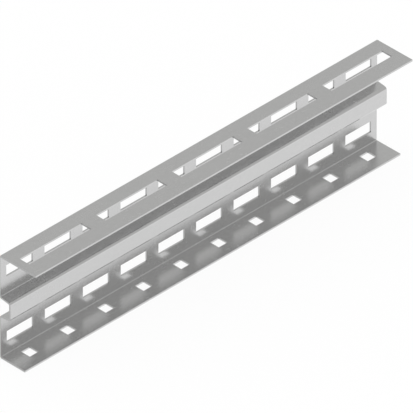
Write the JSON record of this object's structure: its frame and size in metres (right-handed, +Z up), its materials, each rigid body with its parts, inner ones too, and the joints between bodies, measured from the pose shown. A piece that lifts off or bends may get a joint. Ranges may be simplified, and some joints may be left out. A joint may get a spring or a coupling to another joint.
{
  "type": "solar mounting rail",
  "caption": "Short length of rolled steel rail: an open channel with a wide top flange, a narrow bottom flange, a rib along the web and rows of punched slots.",
  "frame": {"origin": "centre of the bounding box, on the floor that the bottom flange stands on", "axes": "+X along the rail, +Y out of the back of the web, +Z up; both flanges and the rib point to -Y"},
  "size_m": [0.4, 0.039, 0.0944],
  "materials": {
    "zinc_coated_steel": "smooth semi-gloss zinc coating on folded steel sheet"
  },
  "bodies": {
    "root": {"mounting_rail": "zinc_coated_steel"}
  },
  "joints": []
}
